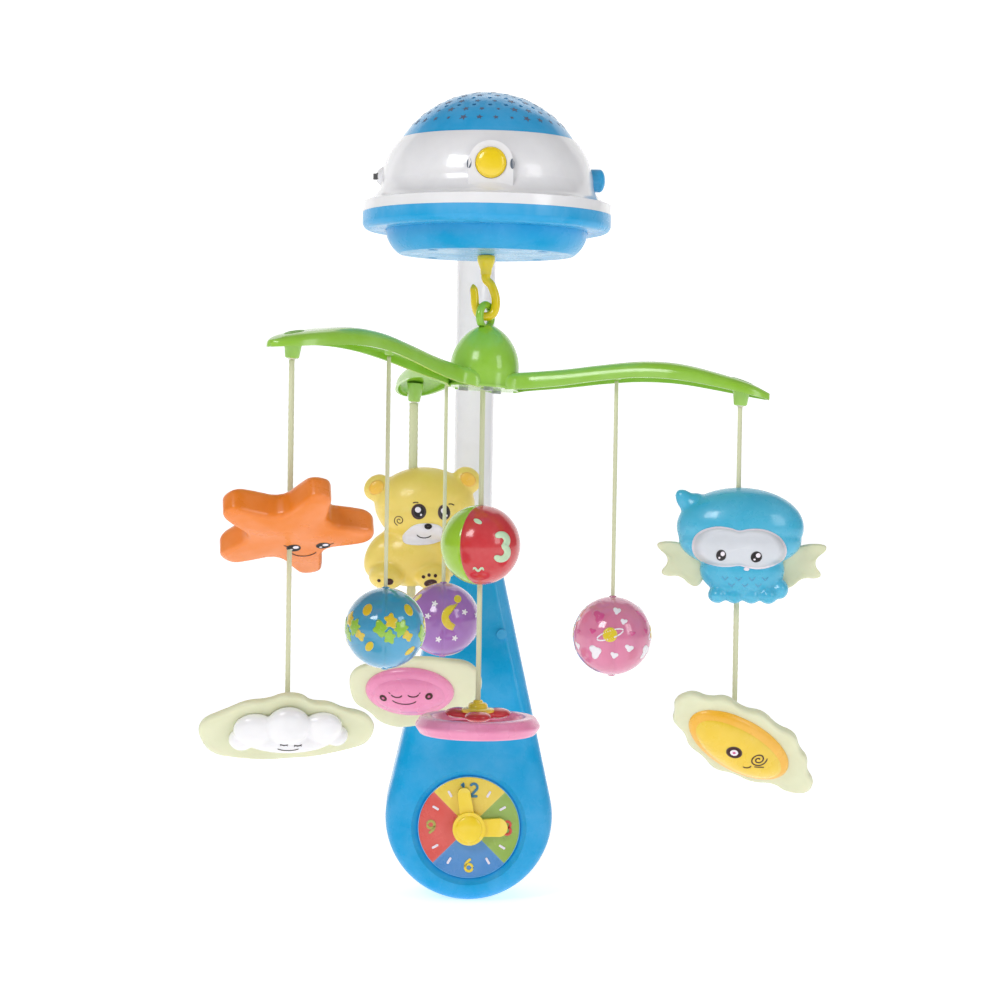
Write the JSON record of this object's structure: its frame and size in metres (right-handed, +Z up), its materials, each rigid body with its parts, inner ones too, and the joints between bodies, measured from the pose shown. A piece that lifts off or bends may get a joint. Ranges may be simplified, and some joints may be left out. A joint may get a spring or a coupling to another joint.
{
  "type": "crib mobile",
  "caption": "Rail-clamped musical crib mobile with a teardrop dial base, an upright and boom, a domed star projector and a turning hub whose arms carry hanging toys.",
  "frame": {"origin": "middle of the base's rear clamping face, at the height of the clamp stud's axis", "axes": "+Z up, -Y towards the viewer and the hanging toys, +X to the viewer's right; the clamp stud runs along +Y"},
  "size_m": [0.4106, 0.575, 0.6192],
  "materials": {
    "blue_plastic": "glossy moulded ABS",
    "white_plastic": "glossy moulded ABS",
    "yellow_plastic": "glossy moulded ABS",
    "green_plastic": "glossy moulded ABS",
    "black_plastic": "matte moulded",
    "gear_plastic": "natural acetal",
    "circuit_board": "solder-masked laminate",
    "battery_sleeve": "printed steel can",
    "motor_steel": "drawn steel can",
    "screw_steel": "zinc-plated",
    "pad_rubber": "soft moulded rubber",
    "dial_print": "printed face in four colours",
    "blue_translucent": "translucent pierced dome",
    "blue_ball_plastic": "translucent printed",
    "purple_ball_plastic": "translucent printed",
    "pink_ball_plastic": "translucent printed",
    "cream_cord": "flat woven cord",
    "orange_plastic": "satin moulded",
    "glow_cream": "pale glow plastic",
    "bear_plastic": "satin moulded",
    "pink_plastic": "glossy moulded",
    "owl_plastic": "satin moulded",
    "sun_plastic": "satin moulded",
    "red_plastic": "glossy moulded",
    "lime_plastic": "glossy moulded"
  },
  "bodies": {
    "stand": {"base_front_shell": "blue_plastic", "base_rear_shell": "blue_plastic", "battery_door": "blue_plastic", "base_screws": "screw_steel", "dial_plate": "dial_print", "rotary_switch": "black_plastic", "base_board": "circuit_board", "battery_cells": "battery_sleeve", "speaker": "black_plastic", "clamp_stud": "white_plastic", "rail_pad": "pad_rubber", "upright_tube": "white_plastic", "boom_arm": "white_plastic", "projector_body": "white_plastic", "projector_dome": "blue_translucent", "projector_ring": "blue_plastic", "projector_tray": "blue_plastic", "projector_screws": "screw_steel", "led_board": "circuit_board", "motor": "motor_steel"},
    "dial": {"dial_knob": "yellow_plastic"},
    "clamp_jaw": {"clamp_plate": "blue_plastic", "clamp_pad": "pad_rubber"},
    "clamp_grip": {"clamp_nut": "white_plastic"},
    "play": {"play_button": "yellow_plastic"},
    "side": {"side_button": "blue_plastic"},
    "switch": {"side_switch": "black_plastic"},
    "pinion": {"motor_pinion": "gear_plastic"},
    "hanger": {"hook": "yellow_plastic", "output_gear": "gear_plastic"},
    "mobile": {"hub_dome": "green_plastic", "hub_cap": "green_plastic", "hub_screws": "screw_steel", "arm_right": "green_plastic", "arm_back": "green_plastic", "arm_left": "green_plastic"},
    "star_drop": {"star": "orange_plastic", "star_cord": "cream_cord"},
    "cloud_drop": {"cloud_backing": "glow_cream", "cloud_face": "white_plastic"},
    "bear_drop": {"bear": "bear_plastic", "bear_cord": "cream_cord"},
    "flower_drop": {"flower_backing": "glow_cream", "flower_face": "pink_plastic"},
    "owl_drop": {"owl_body": "owl_plastic", "owl_wings": "glow_cream", "owl_cord": "cream_cord"},
    "sun_drop": {"sun_backing": "glow_cream", "sun_face": "sun_plastic"},
    "blue_drop": {"blue_ball": "blue_ball_plastic", "blue_ball_cord": "cream_cord"},
    "purple_drop": {"purple_ball": "purple_ball_plastic", "purple_ball_cord": "cream_cord"},
    "pink_drop": {"pink_ball": "pink_ball_plastic", "pink_ball_cord": "cream_cord"},
    "middle_drop": {"centre_cord": "cream_cord"},
    "number_ball": {"number_ball_left": "lime_plastic", "number_ball_right": "red_plastic"},
    "ring_body": {"ring": "pink_plastic"},
    "spinner": {"ring_spinner": "red_plastic"}
  },
  "joints": [
    {"name": "dial_turn", "type": "hinge", "parent": "stand", "child": "dial", "pos_m": [0, -0.072, -0.0076], "axis": [0, -1, 0], "continuous": true},
    {"name": "clamp_slide", "type": "slide", "parent": "stand", "child": "clamp_jaw", "axis": [0, 1, 0], "range_m": [-0.01201, 0.01801]},
    {"name": "clamp_nut_turn", "type": "hinge", "parent": "clamp_jaw", "child": "clamp_grip", "pos_m": [0, 0.05, 0], "axis": [0, 1, 0], "range_deg": [-720, 1080]},
    {"name": "play_press", "type": "slide", "parent": "stand", "child": "play", "axis": [0, 1, 0], "range_m": [0, 0.0016]},
    {"name": "side_press", "type": "slide", "parent": "stand", "child": "side", "axis": [-1, 0, 0], "range_m": [0, 0.0015]},
    {"name": "switch_slide", "type": "slide", "parent": "stand", "child": "switch", "axis": [0, 1, 0], "range_m": [-0.0022, 0.0022]},
    {"name": "hook_spin", "type": "hinge", "parent": "stand", "child": "hanger", "pos_m": [0, -0.325, 0.4664], "axis": [0, 0, 1], "continuous": true},
    {"name": "pinion_spin", "type": "hinge", "parent": "stand", "child": "pinion", "pos_m": [0.02898, -0.325, 0.4664], "axis": [0, 0, 1], "continuous": true},
    {"name": "mobile_swing", "type": "hinge", "parent": "hanger", "child": "mobile", "pos_m": [0, -0.325, 0.3994], "axis": [0, 1, 0], "range_deg": [-5, 5]},
    {"name": "star_swing", "type": "hinge", "parent": "mobile", "child": "star_drop", "pos_m": [-0.12716, -0.45428, 0.35943], "axis": [-0.6997, -0.7145, 0], "range_deg": [-12, 12]},
    {"name": "cloud_swing", "type": "hinge", "parent": "star_drop", "child": "cloud_drop", "pos_m": [-0.12716, -0.45428, 0.1337], "axis": [-0.6997, -0.7145, 0], "range_deg": [-8, 8]},
    {"name": "bear_swing", "type": "hinge", "parent": "mobile", "child": "bear_drop", "pos_m": [-0.04954, -0.15214, 0.33637], "axis": [-0.2689, 0.9632, 0], "range_deg": [-6, 6]},
    {"name": "flower_swing", "type": "hinge", "parent": "bear_drop", "child": "flower_drop", "pos_m": [-0.04954, -0.15214, 0.1207], "axis": [-0.2689, 0.9632, 0], "range_deg": [-8, 8]},
    {"name": "owl_swing", "type": "hinge", "parent": "mobile", "child": "owl_drop", "pos_m": [0.17348, -0.37148, 0.33472], "axis": [0.9686, -0.2487, 0], "range_deg": [-12, 12]},
    {"name": "sun_swing", "type": "hinge", "parent": "owl_drop", "child": "sun_drop", "pos_m": [0.17348, -0.37148, 0.1127], "axis": [0.9686, -0.2487, 0], "range_deg": [-8, 8]},
    {"name": "blue_ball_swing", "type": "hinge", "parent": "mobile", "child": "blue_drop", "pos_m": [-0.06586, -0.392, 0.36452], "axis": [-0.6997, -0.7145, 0], "range_deg": [-12, 12]},
    {"name": "purple_ball_swing", "type": "hinge", "parent": "mobile", "child": "purple_drop", "pos_m": [-0.02546, -0.23474, 0.35252], "axis": [-0.2689, 0.9632, 0], "range_deg": [-12, 12]},
    {"name": "pink_ball_swing", "type": "hinge", "parent": "mobile", "child": "pink_drop", "pos_m": [0.09062, -0.3489, 0.35166], "axis": [0.9686, -0.2487, 0], "range_deg": [-12, 12]},
    {"name": "middle_swing", "type": "hinge", "parent": "mobile", "child": "middle_drop", "pos_m": [-0.001, -0.32591, 0.34456], "axis": [0, 1, 0], "range_deg": [-6, 6]},
    {"name": "number_ball_spin", "type": "hinge", "parent": "middle_drop", "child": "number_ball", "pos_m": [-0.001, -0.32591, 0.2359], "axis": [0, 0, 1], "continuous": true},
    {"name": "ring_spin", "type": "hinge", "parent": "middle_drop", "child": "ring_body", "pos_m": [-0.001, -0.32591, 0.1094], "axis": [0, 0, 1], "continuous": true},
    {"name": "spinner_spin", "type": "hinge", "parent": "ring_body", "child": "spinner", "pos_m": [-0.001, -0.32591, 0.1164], "axis": [0, 0, 1], "continuous": true}
  ],
  "couplings": [
    {"joint": "clamp_slide", "follows": "clamp_nut_turn", "m_per_rad": 0.00095493},
    {"joint": "pinion_spin", "follows": "hook_spin", "ratio": -5}
  ]
}
